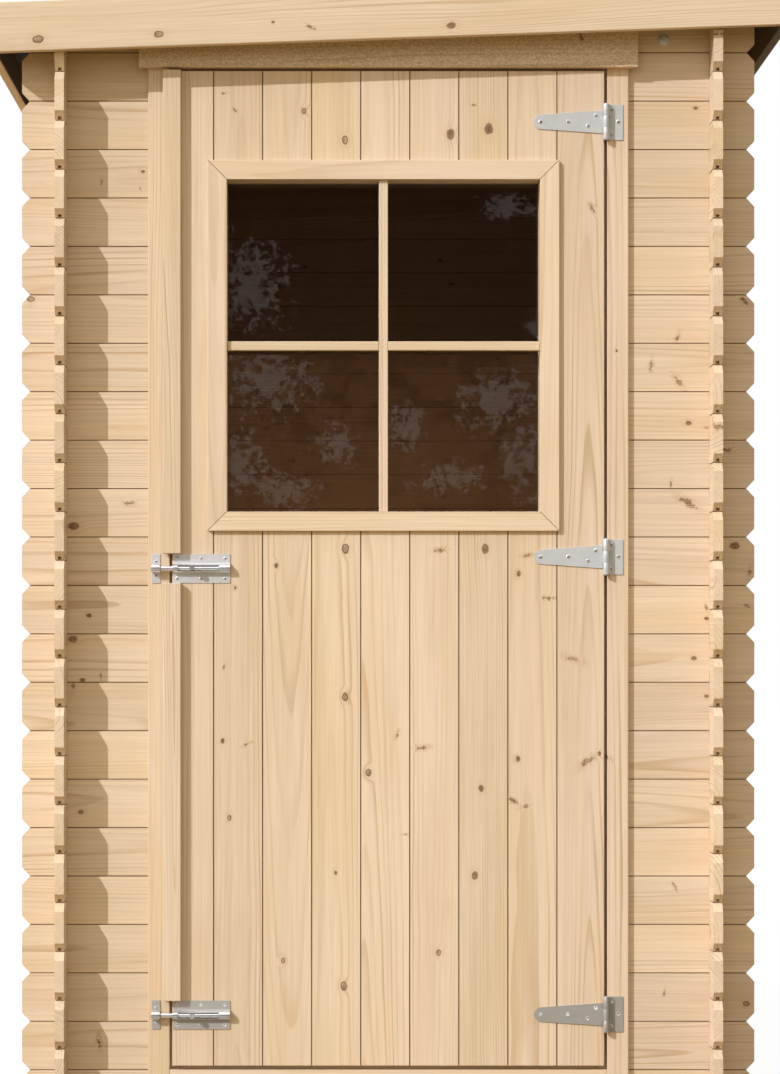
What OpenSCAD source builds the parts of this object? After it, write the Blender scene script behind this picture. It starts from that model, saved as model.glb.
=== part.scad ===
// Garden shed of interlocking tongue-and-groove planks, with a pent roof,
// a framed doorway, a boarded door with a window, tee hinges and barrel bolts.
// Millimetres, +Z up, front towards -Y, origin on the ground in mid plan.

/* [Planks] */
// Height that one plank covers
plank_cover = 84; // [70:1:110]
// Plank thickness
plank_thickness = 16; // [14:1:28]
// Full planks in the front wall below the sloping one
planks_high = 22; // [18:1:26]
// Gap between stacked planks
plank_gap = 0.4; // [0.2:0.1:1]
// Bevel on the long edges of a plank
edge_bevel = 1; // [0.5:0.1:2]
// Tongue width
tongue_width = 5; // [4:0.5:8]
// Tongue height
tongue_height = 5; // [3:0.5:8]

/* [Plan] */
// Middle of left wall to middle of right wall
wall_width = 1130; // [900:10:2000]
// Middle of front wall to middle of back wall
wall_depth = 2290; // [1400:10:3500]
// Plank ends past the face of the crossing wall
log_end = 62; // [30:1:120]
// Chamfer on a plank end, along the plank
end_chamfer_depth = 14; // [5:1:30]
// Chamfer on a plank end, up the plank
end_chamfer_height = 15; // [5:1:20]

/* [Roof] */
// Roof slope in degrees, rising to the right
roof_slope = 2; // [1:0.5:8]
// Thickness of the roof boards
deck_thickness = 19; // [15:1:30]
// Thickness of the roofing felt
felt_thickness = 3; // [2:0.5:6]
// Side fascia outer face past the middle of the wall
eaves = 122; // [100:1:250]
// Front fascia outer face past the middle of the wall
verge = 88; // [85:1:200]
// Fascia thickness
fascia_thickness = 16; // [12:1:28]
// Fascia reach below the roof boards
fascia_drop = 53; // [30:1:80]
// Fascia rise above the underside of the roof boards
fascia_rise = 32; // [24:1:50]

/* [Doorway] */
// Clear width between the posts
doorway_width = 757; // [650:1:900]
// Post width on the face
post_width = 37.5; // [30:0.5:60]
// Posts stand this far out from the wall face
post_proud = 10; // [6:1:20]
// Post depth, front to back
post_depth = 36; // [32:1:60]
// Height of the sill
sill_height = 85.5; // [60:0.5:120]
// Thickness of the frame head under the sloping plank
head_depth = 29.5; // [24:0.5:60]
// Width of the stop lip on posts, sill and head
stop_lip = 16.5; // [10:0.5:25]
// Lintel board length
lintel_length = 862; // [700:1:1000]
// Lintel board thickness
lintel_thickness = 16; // [12:1:25]

/* [Door] */
// Gap round the door
door_gap = 5; // [4:0.5:10]
// Gap under the door
door_under = 8; // [5:0.5:15]
// Door board thickness
door_thickness = 16; // [14:1:28]
// Width of one door board, made to fit the door in whole boards
board_target = 85; // [60:1:130]
// Gap between door boards
board_gap = 0.6; // [0.3:0.1:2]
// Ledge width
ledge_width = 84; // [60:1:120]
// Ledge thickness
ledge_thickness = 18; // [14:1:28]
// Cover strip width
strip_width = 31; // [20:1:45]
// Cover strip thickness
strip_thickness = 16; // [10:1:22]
// Cover strip overlap past the door edge
strip_overlap = 15.5; // [8:0.5:25]

/* [Window] */
// Clear height inside the trim
window_height = 574; // [300:1:800]
// Door top to the clear window
window_above = 188; // [150:1:300]
// Closing edge of the door to the clear window
window_left = 94.5; // [85:0.5:200]
// Hinge edge of the door to the clear window
window_right = 111.5; // [100:0.5:200]
// Board that shows beside the lining on the closing side
left_strip = 7.1; // [4:0.1:15]
// Board that shows beside the lining on the hinge side
right_strip = 13.7; // [4:0.1:15]
// Trim width
trim_width = 33.4; // [20:0.2:60]
// Trim thickness
trim_thickness = 8; // [6:1:16]
// Lining thickness
lining_thickness = 16; // [10:1:22]
// Glass depth behind the door face
glass_depth = 38; // [30:1:50]
// Glass thickness
glass_thickness = 4; // [3:0.5:6]
// Bar width
bar_width = 15.7; // [10:0.1:30]
// Bar depth
bar_depth = 14; // [8:1:24]
// Bar front behind the trim front
bar_recess = 7; // [1:0.5:20]

/* [Hinges] */
// Top hinge below the door top
hinge_below_top = 88; // [60:1:140]
// Middle hinge below the clear window
hinge_below_window = 78; // [70:1:200]
// Bottom hinge above the door bottom
hinge_above_bottom = 88.5; // [60:0.5:200]
// Strap length from the pin
strap_length = 124; // [80:1:160]
// Strap height at the knuckle
strap_root = 39.5; // [25:0.5:60]
// Strap height at the tip
strap_tip = 25; // [15:0.5:40]
// Plate thickness of the hinges
hinge_plate = 2; // [1.5:0.1:4]
// Hinge leaf width
leaf_width = 24.5; // [15:0.5:35]
// Hinge leaf height
leaf_height = 61; // [40:1:90]
// Knuckle diameter
knuckle_diameter = 9.6; // [8:0.2:14]
// Pin diameter
pin_diameter = 5; // [4:0.5:8]
// Pin clearance, radial
pin_clearance = 0.05; // [0.01:0.01:0.1]

/* [Bolts] */
// Upper bolt below the clear window
bolt_below_window = 98; // [90:1:250]
// Lower bolt above the door bottom
bolt_above_bottom = 87.5; // [60:0.5:200]
// Bolt case length
case_length = 99; // [70:1:140]
// Bolt case height
case_height = 50; // [35:1:70]
// Bolt plate thickness
bolt_plate = 1.6; // [1:0.1:3]
// Rod diameter
rod_diameter = 8.5; // [6:0.5:14]
// Barrel diameter
barrel_diameter = 14; // [11:0.5:22]
// Barrel flange height
barrel_flange = 20; // [14:0.5:30]
// Knob diameter
knob_diameter = 9; // [6:0.5:14]
// Keeper width
keeper_width = 15; // [10:1:25]
// Rod tip to keeper with the bolt just drawn
rod_tip_gap = 1.5; // [1:0.5:5]

/* [Floor] */
// Floor panel thickness
floor_thickness = 18; // [14:1:28]
// Joist width and height
joist_size = 45; // [30:1:70]
// Floor clearance to the walls
floor_gap = 0.3; // [0.3:0.1:10]

/* [Hidden] */
$fn = 48;
seat = 0.3;
slope_tan = tan(roof_slope);
half_plank = plank_cover / 2;
notch_depth = plank_cover / 4 + plank_gap / 2;
notch_width = plank_thickness + 2 * plank_gap;
cross_x = wall_width / 2;
cross_y = wall_depth / 2;
reach = plank_thickness / 2 + log_end;
end_x = cross_x + reach;
end_y = cross_y + reach;
groove_width = tongue_width + 1;
groove_depth = tongue_height + 1;
wall_front = -cross_y - plank_thickness / 2;
wall_back_of_front = wall_front + plank_thickness;
stack_top = planks_high * plank_cover;
side_top = stack_top + half_plank;
head_height = stack_top - head_depth;
lintel_height = head_depth + half_plank - 1.5;
post_front = wall_front - post_proud;
post_back = post_front + post_depth;
post_inner = doorway_width / 2;
post_outer = post_inner + post_width;
post_groove = 13;
lip_front = post_front + door_thickness;
lip_inner = post_inner - stop_lip;
lip_sill = sill_height + 18.5;
lip_head = head_height - 18.5;
door_front = post_front - door_gap;
door_back = door_front + door_thickness;
door_edge = post_inner - door_gap;
door_bottom = sill_height + door_under;
door_top = head_height - door_gap - 0.5;
ledge_length = 2 * (lip_inner - 12);
roof_x = cross_x + eaves;
roof_y = cross_y + verge;
deck_x = roof_x - fascia_thickness;
deck_y = roof_y - fascia_thickness;
win_x0 = -door_edge + window_left;
win_x1 = door_edge - window_right;
win_z1 = door_top - window_above;
win_z0 = win_z1 - window_height;
win_mid = (win_x0 + win_x1) / 2;
hole_x0 = win_x0 - lining_thickness;
hole_x1 = win_x1 + lining_thickness;
hole_z0 = win_z0 - lining_thickness;
hole_z1 = win_z1 + lining_thickness;
boards_x0 = hole_x0 - left_strip;
boards_x1 = hole_x1 + right_strip;
board_count = round((boards_x1 - boards_x0) / board_target);
board_pitch = (boards_x1 - boards_x0) / board_count;
hinge_heights = [door_top - hinge_below_top, win_z0 - hinge_below_window, door_bottom + hinge_above_bottom];
bolt_heights = [win_z0 - bolt_below_window, door_bottom + bolt_above_bottom];
trim_front = door_front - trim_thickness;
glass_front = door_front + glass_depth;
hinge_x = post_inner - door_gap / 2;
hinge_y = door_front - knuckle_diameter / 2 - 0.2;
knuckle_third = leaf_height / 3;
case_x0 = -door_edge + 1;
case_x1 = case_x0 + case_length;
bore_y = door_front - bolt_plate - rod_diameter / 2 - 1.15;
keeper_x1 = -post_outer + 21.5;
keeper_x0 = keeper_x1 - keeper_width;
rod_tip = keeper_x1 + rod_tip_gap;
rod_throw = keeper_width + rod_tip_gap + 2.5;
knob_x = case_x0 + 15 + rod_throw;
floor_x = cross_x - plank_thickness / 2 - floor_gap;
floor_y0 = post_back + floor_gap;
floor_y1 = cross_y - plank_thickness / 2 - floor_gap;

// Height of the underside of the roof boards at x
function roof_under(x) = side_top + (x + cross_x) * slope_tan;

// Tongue-and-groove section across a plank, thickness by height
function plank_section(h, groove = true, tongue = true) =
    let (t = plank_thickness / 2, m = edge_bevel, lo = plank_gap / 2, hi = h - plank_gap / 2,
         g = groove_width / 2, w = tongue_width / 2)
    concat(
        groove ? [[-t + m, lo], [-g, lo], [-g, lo + groove_depth], [g, lo + groove_depth], [g, lo], [t - m, lo]]
               : [[-t, 0], [t, 0]],
        [[t, groove ? lo + m : lo + 2 * m], [t, hi - m], [t - m, hi]],
        tongue ? [[w, hi], [w, hi + tongue_height], [-w, hi + tongue_height], [-w, hi]] : [],
        [[-t + m, hi], [-t, hi - m], [-t, groove ? lo + m : lo + 2 * m]]);

// Section of a side wall's top plank, cut to the roof slope
function ripped_section(h) =
    let (t = plank_thickness / 2, m = edge_bevel, lo = plank_gap / 2, g = groove_width / 2)
    [[-t + m, lo], [-g, lo], [-g, lo + groove_depth], [g, lo + groove_depth], [g, lo], [t - m, lo],
     [t, lo + m], [t, h - seat - t * slope_tan], [-t, h - seat + t * slope_tan], [-t, lo + m]];

// Notches in the lower and upper edge of a plank
function low_notches(at) = [for (s = at) each
    [[s - notch_width / 2, -1], [s - notch_width / 2, notch_depth], [s + notch_width / 2, notch_depth], [s + notch_width / 2, -1]]];
function high_notches(at, floor_z, top) = [for (i = [len(at) - 1 : -1 : 0]) each
    [[at[i] + notch_width / 2, top], [at[i] + notch_width / 2, floor_z], [at[i] - notch_width / 2, floor_z], [at[i] - notch_width / 2, top]]];

// Side view of a plank from s0 to s1, with chamfered ends where they show
function plank_outline(s0, s1, h, low, high, log0 = true, log1 = true) =
    let (d = end_chamfer_depth, c = end_chamfer_height, k = d / c, top = h + tongue_height + 1,
         rise = tongue_height + 1, flat = low == [] && h < plank_cover)
    concat(
        flat ? [[s0, -1]] : log0 ? [[s0, c], [s0 + d + k, -1]] : [[s0, -1]],
        low_notches(low),
        flat ? [[s1, -1]] : log1 ? [[s1 - d - k, -1], [s1, c]] : [[s1, -1]],
        log1 ? [[s1, h - c], [s1 - d - k * rise, top]] : [[s1, top]],
        high_notches(high, h - notch_depth, top),
        log0 ? [[s0 + d + k * rise, top], [s0, h - c]] : [[s0, top]]);

// Sloping top plank of the front and back walls, seen from the front
function sloping_outline() =
    let (d = end_chamfer_depth, c = end_chamfer_height, k = d / c,
         z0 = roof_under(-end_x) - stack_top - seat, z1 = roof_under(end_x) - stack_top - seat,
         za = roof_under(cross_x - notch_width / 2) - stack_top - seat,
         zb = roof_under(cross_x + notch_width / 2) - stack_top - seat,
         f = plank_cover - notch_depth)
    concat([[-end_x, c], [-end_x + d + k, -1]],
        low_notches([-cross_x, cross_x]),
        [[end_x - d - k, -1], [end_x, c], [end_x, z1], [cross_x + notch_width / 2, zb],
         [cross_x + notch_width / 2, f], [cross_x - notch_width / 2, f],
         [cross_x - notch_width / 2, za], [-end_x, z0]]);

// A plank along X, its lower edge at z = 0
module plank(section, outline, s0, s1) {
    intersection() {
        translate([(s0 + s1) / 2, 0, 0]) rotate([90, 0, 90])
            linear_extrude(height = s1 - s0 + 4, center = true) polygon(section);
        rotate([90, 0, 0]) linear_extrude(height = plank_thickness + 4, center = true) polygon(outline);
    }
}

// A board lying along X, Y or Z between two corners
module board(a, b) {
    translate(a) cube(b - a);
}

// Prism along Y with a section in X and Z
module prism_y(points, y0, y1) {
    translate([0, y1, 0]) rotate([90, 0, 0]) linear_extrude(height = y1 - y0) polygon(points);
}

// Prism along Z with a section in X and Y
module prism_z(points, z0, z1) {
    translate([0, 0, z0]) linear_extrude(height = z1 - z0) polygon(points);
}

// Rod along X
module rod_x(d, x0, x1, y, z) {
    translate([x0, y, z]) rotate([0, 90, 0]) cylinder(d = d, h = x1 - x0);
}

// Short planks from the corner to the door post, on one side of the doorway
module front_planks() {
    s1 = -post_outer + post_groove - 0.4;
    for (k = [0 : planks_high - 1])
        translate([0, -cross_y, k * plank_cover])
            plank(plank_section(plank_cover, k > 0),
                  plank_outline(-end_x, s1, plank_cover, [-cross_x], [-cross_x], true, false), -end_x, s1);
}

module front_wall_left() {
    color("burlywood") front_planks();
}

module front_wall_right() {
    color("burlywood") mirror([1, 0, 0]) front_planks();
}

module sloping_plank() {
    translate([0, 0, stack_top])
        plank(plank_section(side_top, true, false), sloping_outline(), -end_x, end_x);
}

module front_wall_top() {
    color("burlywood") translate([0, -cross_y, 0]) sloping_plank();
}

module back_wall() {
    color("burlywood") translate([0, cross_y, 0]) {
        for (k = [0 : planks_high - 1])
            translate([0, 0, k * plank_cover])
                plank(plank_section(plank_cover, k > 0),
                      plank_outline(-end_x, end_x, plank_cover, [-cross_x, cross_x], [-cross_x, cross_x]), -end_x, end_x);
        sloping_plank();
    }
}

// Planks of a side wall up to the side top, offset by half a plank
module side_planks(full) {
    at = [-cross_y, cross_y];
    plank(plank_section(half_plank, false),
          plank_outline(-end_y, end_y, half_plank, [], at), -end_y, end_y);
    for (k = [0 : full - 1])
        translate([0, 0, half_plank + k * plank_cover])
            plank(plank_section(plank_cover),
                  plank_outline(-end_y, end_y, plank_cover, at, at), -end_y, end_y);
}

module left_wall() {
    at = [-cross_y, cross_y];
    color("burlywood") translate([-cross_x, 0, 0]) rotate([0, 0, 90]) {
        side_planks(planks_high - 1);
        translate([0, 0, side_top - plank_cover])
            plank(ripped_section(plank_cover),
                  plank_outline(-end_y, end_y, plank_cover, at, at), -end_y, end_y);
    }
}

module right_wall() {
    at = [-cross_y, cross_y];
    rip = roof_under(cross_x) - side_top;
    color("burlywood") translate([cross_x, 0, 0]) rotate([0, 0, 90]) {
        side_planks(planks_high);
        translate([0, 0, side_top])
            plank(ripped_section(rip),
                  concat([[-end_y, end_chamfer_height], [-end_y + end_chamfer_depth + 1, -1]],
                         low_notches(at),
                         [[end_y - end_chamfer_depth - 1, -1], [end_y, end_chamfer_height],
                          [end_y, rip + 5], [-end_y, rip + 5]]), -end_y, end_y);
    }
}

// Door post in plan, with a groove for the planks and a stop lip for the door
module post() {
    g0 = wall_front - seat;
    g1 = wall_back_of_front + seat;
    prism_z([[post_inner, post_front], [post_outer, post_front], [post_outer, g0],
             [post_outer - post_groove, g0], [post_outer - post_groove, g1], [post_outer, g1],
             [post_outer, post_back], [lip_inner, post_back], [lip_inner, lip_front],
             [post_inner, lip_front]], 0, stack_top);
}

module frame_post_left() {
    color("wheat") mirror([1, 0, 0]) post();
}

module frame_post_right() {
    color("wheat") post();
}

module frame_head() {
    color("wheat") union() {
        board([-post_inner + seat, post_front, head_height], [post_inner - seat, lip_front, stack_top]);
        board([-lip_inner + seat, lip_front, lip_head], [lip_inner - seat, post_back, stack_top]);
    }
}

module door_sill() {
    color("wheat") union() {
        board([-post_inner + seat, post_front, 0], [post_inner - seat, lip_front, sill_height]);
        board([-lip_inner + seat, lip_front, 0], [lip_inner - seat, post_back, lip_sill]);
    }
}

module lintel_board() {
    color("wheat") board([-lintel_length / 2, post_front - lintel_thickness, head_height],
                         [lintel_length / 2, post_front, head_height + lintel_height]);
}

module floor_panel() {
    color("tan") board([-floor_x, floor_y0, joist_size], [floor_x, floor_y1, joist_size + floor_thickness]);
}

module floor_joists() {
    color("peru") for (i = [-1, 0, 1])
        let (x = i * (floor_x - joist_size))
        board([x - joist_size / 2, floor_y0, 0], [x + joist_size / 2, floor_y1, joist_size]);
}

// Slanted section of a roof layer between two x, from lo to hi above the boards' underside
function roof_layer(x0, x1, lo, hi) =
    [[x0, roof_under(x0) + lo], [x1, roof_under(x1) + lo], [x1, roof_under(x1) + hi], [x0, roof_under(x0) + hi]];

module roof_deck() {
    color("tan") prism_y(roof_layer(-deck_x, deck_x, 0, deck_thickness), -deck_y, deck_y);
}

module roof_felt() {
    color("dimgray") prism_y(roof_layer(-roof_x, deck_x - seat, deck_thickness + seat, deck_thickness + seat + felt_thickness), -deck_y, deck_y);
}

module fascia_front() {
    color("burlywood") prism_y(roof_layer(-roof_x, roof_x, -fascia_drop, fascia_rise), -roof_y, -deck_y);
}

module fascia_back() {
    color("burlywood") prism_y(roof_layer(-roof_x, roof_x, -fascia_drop, fascia_rise), deck_y, roof_y);
}

module fascia_left() {
    color("burlywood") prism_y(roof_layer(-roof_x, -deck_x, -fascia_drop, deck_thickness), -deck_y, deck_y);
}

module fascia_right() {
    color("burlywood") prism_y(roof_layer(deck_x, roof_x, -fascia_drop, fascia_rise), -deck_y, deck_y);
}

// Upright door board in plan, bevelled on its long edges
module door_board(x0, x1, z0, z1) {
    a = x0 + board_gap / 2;
    b = x1 - board_gap / 2;
    m = edge_bevel;
    prism_z([[a + m, door_front], [b - m, door_front], [b, door_front + m], [b, door_back - m],
             [b - m, door_back], [a + m, door_back], [a, door_back - m], [a, door_front + m]], z0, z1);
}

module door_boards() {
    color("wheat") {
        door_board(-door_edge - board_gap / 2, boards_x0, door_bottom, door_top);
        door_board(boards_x1, door_edge + board_gap / 2, door_bottom, door_top);
        for (i = [0 : board_count - 1]) {
            x = boards_x0 + i * board_pitch;
            door_board(x, x + board_pitch, hole_z1 + seat, door_top);
            door_board(x, x + board_pitch, door_bottom, hole_z0 - seat);
        }
        board([boards_x0 + board_gap / 2, door_front, hole_z0], [hole_x0 - seat, door_back, hole_z1]);
        board([hole_x1 + seat, door_front, hole_z0], [boards_x1 - board_gap / 2, door_back, hole_z1]);
    }
}

module door_ledges() {
    color("wheat") for (z = hinge_heights)
        board([-ledge_length / 2, door_back, z - ledge_width / 2], [ledge_length / 2, door_back + ledge_thickness, z + ledge_width / 2]);
}

module cover_strip(z0, z1) {
    x = -door_edge - strip_overlap;
    m = edge_bevel;
    color("burlywood") prism_z([[x + m, door_front - strip_thickness], [x + strip_width - m, door_front - strip_thickness],
        [x + strip_width, door_front - strip_thickness + m], [x + strip_width, door_front],
        [x, door_front], [x, door_front - strip_thickness + m]], z0, z1);
}

module cover_strip_upper() {
    cover_strip(bolt_heights[0] + case_height / 2 + 0.5, door_top);
}

module cover_strip_lower() {
    cover_strip(bolt_heights[1] + case_height / 2 + 0.5, bolt_heights[0] - case_height / 2 - 0.5);
}

// Four mitred boards round the window, as seen from the front
module window_trim() {
    w = trim_width;
    s = seat / 2;
    across = [[win_x0 - w + s, win_z1 + w], [win_x1 + w - s, win_z1 + w], [win_x1 - s, win_z1], [win_x0 + s, win_z1]];
    below = [[win_x0 - w + s, win_z0 - w], [win_x1 + w - s, win_z0 - w], [win_x1 - s, win_z0], [win_x0 + s, win_z0]];
    left = [[win_x0 - w, win_z0 - w + s], [win_x0, win_z0 + s], [win_x0, win_z1 - s], [win_x0 - w, win_z1 + w - s]];
    right = [[win_x1 + w, win_z0 - w + s], [win_x1, win_z0 + s], [win_x1, win_z1 - s], [win_x1 + w, win_z1 + w - s]];
    color("wheat") for (p = [across, below, left, right]) prism_y(p, trim_front, door_front);
}

// Boards that line the opening, the uprights between the level ones
module window_lining() {
    color("wheat") {
        for (z = [[win_z1, hole_z1], [hole_z0, win_z0]])
            board([hole_x0, door_front, z[0]], [hole_x1, glass_front, z[1]]);
        for (x = [[hole_x0, win_x0], [win_x1, hole_x1]])
            board([x[0], door_front, win_z0 + seat], [x[1], glass_front, win_z1 - seat]);
    }
}

// Beads that hold the glass from the inside
module window_beads() {
    b = glass_front + glass_thickness;
    color("wheat") {
        for (z = [[win_z1, hole_z1], [hole_z0, win_z0]])
            board([hole_x0, b, z[0]], [hole_x1, b + 10, z[1]]);
        for (x = [[hole_x0, win_x0], [win_x1, hole_x1]])
            board([x[0], b, win_z0 + seat], [x[1], b + 10, win_z1 - seat]);
    }
}

module window_glass() {
    o = lining_thickness / 2;
    color("lightblue", 0.4) board([win_x0 - o, glass_front, win_z0 - o], [win_x1 + o, glass_front + glass_thickness, win_z1 + o]);
}

module window_bars() {
    y = trim_front + bar_recess;
    h = bar_width / 2;
    zm = (win_z0 + win_z1) / 2;
    color("wheat") {
        board([win_mid - h, y, win_z0 + seat], [win_mid + h, y + bar_depth, win_z1 - seat]);
        board([win_x0 + seat, y, zm - h], [win_mid - h - seat, y + bar_depth, zm + h]);
        board([win_mid + h + seat, y, zm - h], [win_x1 - seat, y + bar_depth, zm + h]);
    }
}

// Tapered strap on the door with the middle knuckle, bored for the pin
module hinge_strap(z) {
    x1 = hinge_x - knuckle_diameter / 2 - 0.7;
    x0 = hinge_x - strap_length + strap_tip / 2;
    k = knuckle_third - 0.4;
    color("silver") difference() {
        union() {
            prism_y([[x1, z - strap_root / 2], [x1, z + strap_root / 2], [x0, z + strap_tip / 2], [x0, z - strap_tip / 2]],
                    door_front - hinge_plate, door_front);
            translate([x0, door_front, z]) rotate([90, 0, 0]) cylinder(d = strap_tip, h = hinge_plate);
            board([x1 - 1, door_front - hinge_plate, z - k / 2], [hinge_x, door_front, z + k / 2]);
            translate([hinge_x, hinge_y, z - k / 2]) cylinder(d = knuckle_diameter, h = k);
        }
        translate([hinge_x, hinge_y, z - leaf_height]) cylinder(d = pin_diameter + 2 * pin_clearance, h = 2 * leaf_height);
    }
}

module hinge_strap_top() { hinge_strap(hinge_heights[0]); }
module hinge_strap_middle() { hinge_strap(hinge_heights[1]); }
module hinge_strap_bottom() { hinge_strap(hinge_heights[2]); }

// Leaf on the post with two knuckles and the pin
module hinge_leaf(z) {
    x0 = hinge_x + knuckle_diameter / 2 + 0.7;
    color("silver") union() {
        board([x0, post_front - hinge_plate, z - leaf_height / 2], [x0 + leaf_width, post_front, z + leaf_height / 2]);
        for (s = [-1, 1]) {
            zc = z + s * knuckle_third;
            board([hinge_x, hinge_y + 1.5, zc - knuckle_third / 2], [x0 + 2.5, post_front, zc + knuckle_third / 2]);
            translate([hinge_x, hinge_y, zc - knuckle_third / 2]) cylinder(d = knuckle_diameter, h = knuckle_third);
        }
        translate([hinge_x, hinge_y, z - leaf_height / 2]) cylinder(d = pin_diameter, h = leaf_height);
    }
}

module hinge_leaf_top() { hinge_leaf(hinge_heights[0]); }
module hinge_leaf_middle() { hinge_leaf(hinge_heights[1]); }
module hinge_leaf_bottom() { hinge_leaf(hinge_heights[2]); }

// Plate with a barrel, bored for the rod and slotted for the knob
module bolt_case(z) {
    slot0 = case_x0 + 9;
    slot1 = case_x1 - 19;
    color("gainsboro") difference() {
        union() {
            board([case_x0, door_front - bolt_plate, z - case_height / 2], [case_x1, door_front, z + case_height / 2]);
            rod_x(barrel_diameter, case_x0, case_x1, bore_y, z);
            translate([case_x0, 0, z]) rotate([90, 0, 90]) linear_extrude(height = case_length)
                polygon([[door_front - bolt_plate / 2, -barrel_flange / 2], [door_front - bolt_plate / 2, barrel_flange / 2],
                         [bore_y, barrel_diameter / 2 - 0.6], [bore_y, -barrel_diameter / 2 + 0.6]]);
        }
        rod_x(rod_diameter + 0.2, case_x0 - 1, case_x1 + 1, bore_y, z);
        board([slot0, bore_y - barrel_diameter, z - knob_diameter / 2 - 0.6], [slot1, bore_y, z + knob_diameter / 2 + 0.6]);
    }
}

module upper_bolt_case() { bolt_case(bolt_heights[0]); }
module lower_bolt_case() { bolt_case(bolt_heights[1]); }

// Rod with a turned knob, drawn just clear of the keeper
module bolt_rod(z) {
    color("whitesmoke") union() {
        rod_x(rod_diameter, rod_tip, case_x1 - 6, bore_y, z);
        translate([knob_x, bore_y, z]) rotate([90, 0, 0]) cylinder(d = knob_diameter - 3, h = 10);
        translate([knob_x, bore_y - 8, z]) rotate([90, 0, 0]) cylinder(d = knob_diameter, h = 8);
    }
}

module upper_bolt_rod() { bolt_rod(bolt_heights[0]); }
module lower_bolt_rod() { bolt_rod(bolt_heights[1]); }

// Staple on the post that takes the rod's end
module bolt_keeper(z) {
    r = rod_diameter / 2 + 0.5;
    color("gainsboro") difference() {
        union() {
            board([keeper_x0, post_front - bolt_plate, z - case_height / 2], [keeper_x1, post_front, z + case_height / 2]);
            board([keeper_x0, bore_y, z - barrel_diameter / 2], [keeper_x1, post_front, z + barrel_diameter / 2]);
            rod_x(barrel_diameter, keeper_x0, keeper_x1, bore_y, z);
        }
        rod_x(2 * r, keeper_x0 - 1, keeper_x1 + 1, bore_y, z);
        board([keeper_x0 - 1, bore_y, z - r], [keeper_x1 + 1, post_front - bolt_plate, z + r]);
    }
}

module upper_bolt_keeper() { bolt_keeper(bolt_heights[0]); }
module lower_bolt_keeper() { bolt_keeper(bolt_heights[1]); }

front_wall_left();
front_wall_right();
front_wall_top();
back_wall();
left_wall();
right_wall();
frame_post_left();
frame_post_right();
frame_head();
door_sill();
lintel_board();
floor_panel();
floor_joists();
roof_deck();
roof_felt();
fascia_front();
fascia_back();
fascia_left();
fascia_right();
hinge_leaf_top();
hinge_leaf_middle();
hinge_leaf_bottom();
upper_bolt_keeper();
lower_bolt_keeper();
door_boards();
door_ledges();
cover_strip_upper();
cover_strip_lower();
window_trim();
window_lining();
window_beads();
window_glass();
window_bars();
hinge_strap_top();
hinge_strap_middle();
hinge_strap_bottom();
upper_bolt_case();
lower_bolt_case();
upper_bolt_rod();
lower_bolt_rod();
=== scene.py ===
import math

import bmesh
import bpy
from mathutils import Matrix, Vector


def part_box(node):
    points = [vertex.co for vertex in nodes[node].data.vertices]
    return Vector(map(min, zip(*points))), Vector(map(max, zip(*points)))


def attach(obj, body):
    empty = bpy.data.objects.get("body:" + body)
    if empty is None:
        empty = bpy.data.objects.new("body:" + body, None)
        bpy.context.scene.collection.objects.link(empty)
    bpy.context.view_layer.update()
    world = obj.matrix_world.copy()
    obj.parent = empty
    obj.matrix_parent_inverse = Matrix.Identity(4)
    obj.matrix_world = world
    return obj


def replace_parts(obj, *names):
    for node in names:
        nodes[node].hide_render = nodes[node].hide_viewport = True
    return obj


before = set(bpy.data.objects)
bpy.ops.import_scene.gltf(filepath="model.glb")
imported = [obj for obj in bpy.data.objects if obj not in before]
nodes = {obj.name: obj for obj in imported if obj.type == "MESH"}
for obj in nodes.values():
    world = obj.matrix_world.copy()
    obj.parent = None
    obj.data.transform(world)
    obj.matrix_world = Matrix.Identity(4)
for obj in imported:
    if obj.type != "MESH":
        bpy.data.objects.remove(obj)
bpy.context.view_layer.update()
mm = 0.001
fall = math.tan(math.radians(2))  # the roof rises this much per metre towards +X
print("frame loaded,", len(nodes), "nodes")

# camera and light
photoView = {"place": (-0.087, -6.353, 0.790), "lens": 100.5, "shiftX": 0.0484, "shiftY": 0.1171}
daylight = {
    "sun": 2.66, "sunTint": (0.985, 0.99, 1.0), "sunFrom": (-1.15, -1.0, 0.90), "sunSize": 0.9,
    "fillLow": (0.115, 0.072, 0.018, 1), "fillHigh": (1.02, 0.97, 0.80, 1), "horizon": (-0.12, 0.15),
    "fillLeft": 0.25, "fillRight": 0.40,
    "indoors": (0.0, 0.6, 0.95), "indoorGlow": 0.29, "indoorTint": (1.0, 0.54, 0.26), "indoorSize": 0.5,
}
# what the panes mirror; heights and widths are those of a sight line of length 1
mirrorView = {
    "dark": (0.035, 0.022, 0.016, 1), "pale": (0.52, 0.45, 0.44, 1), "sky": (1.8, 1.8, 1.85, 1),
    "skyFrom": (0.40, 0.75), "low": (0.46, 0.215, 0.10, 1), "lowPale": (0.92, 0.70, 0.60, 1), "lowTop": 0.105,
    "lowFoot": (0.030, 0.045), "ahead": 0.015, "aheadHalf": 0.065, "leaves": 330.0, "clumps": 34.0, "bushes": 120.0,
    "paneY": -1.158,
}
# pale gaps between leaves, by where the panes mirror them: middle and half size in mm
mirrorGaps = (
    (-236, 1446, 72, 92), (205, 1580, 52, 26), (252, 1370, 20, 30), (-208, 1278, 92, 62), (-251, 1138, 44, 62),
    (-187, 1089, 64, 40), (30, 1197, 44, 46), (193, 1245, 86, 62), (236, 1138, 44, 76), (-90, 1170, 40, 46),
    (110, 1110, 70, 30),
)
paleFloor = {"half": 40.0, "glow": 0.93, "tone": (0.31, 0.21, 0.085, 1), "mirrored": (0.26, 0.26, 0.26, 1),
             "seen": (0.10, 0.10, 0.10, 1)}


def newObject(name, data):
    made = bpy.data.objects.new(name, data)
    bpy.context.scene.collection.objects.link(made)
    return made


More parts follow.
